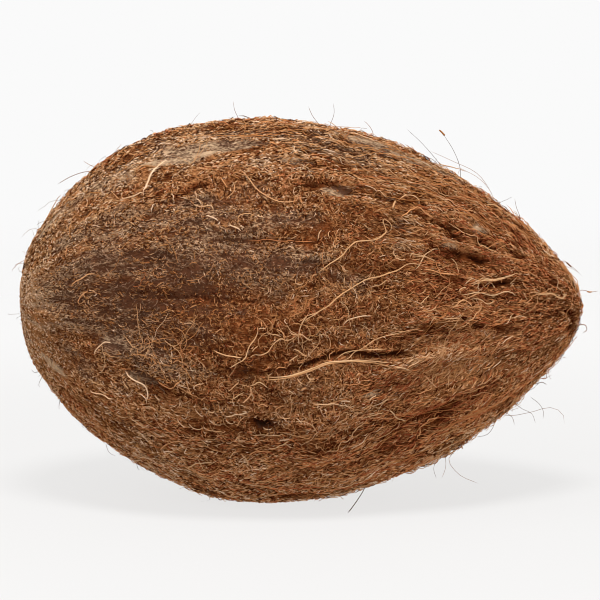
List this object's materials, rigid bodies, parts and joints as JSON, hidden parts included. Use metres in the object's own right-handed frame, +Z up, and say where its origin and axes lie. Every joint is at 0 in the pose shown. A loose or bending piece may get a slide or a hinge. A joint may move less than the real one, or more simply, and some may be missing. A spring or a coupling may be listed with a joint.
{
  "type": "coconut",
  "caption": "Whole husked coconut in a matted coat of brown coir, egg-shaped with one bluntly pointed end, lying on its side on a small flat spot.",
  "frame": {"origin": "on the surface that the nut rests on, below the middle of its bounding box", "axes": "+X along the nut towards its pointed stem end, +Z up, -Y towards the side with the longest loose strands"},
  "size_m": [0.1509, 0.1036, 0.1009],
  "materials": {
    "coir": "matte"
  },
  "bodies": {
    "root": {"coconut": "coir"}
  },
  "joints": []
}
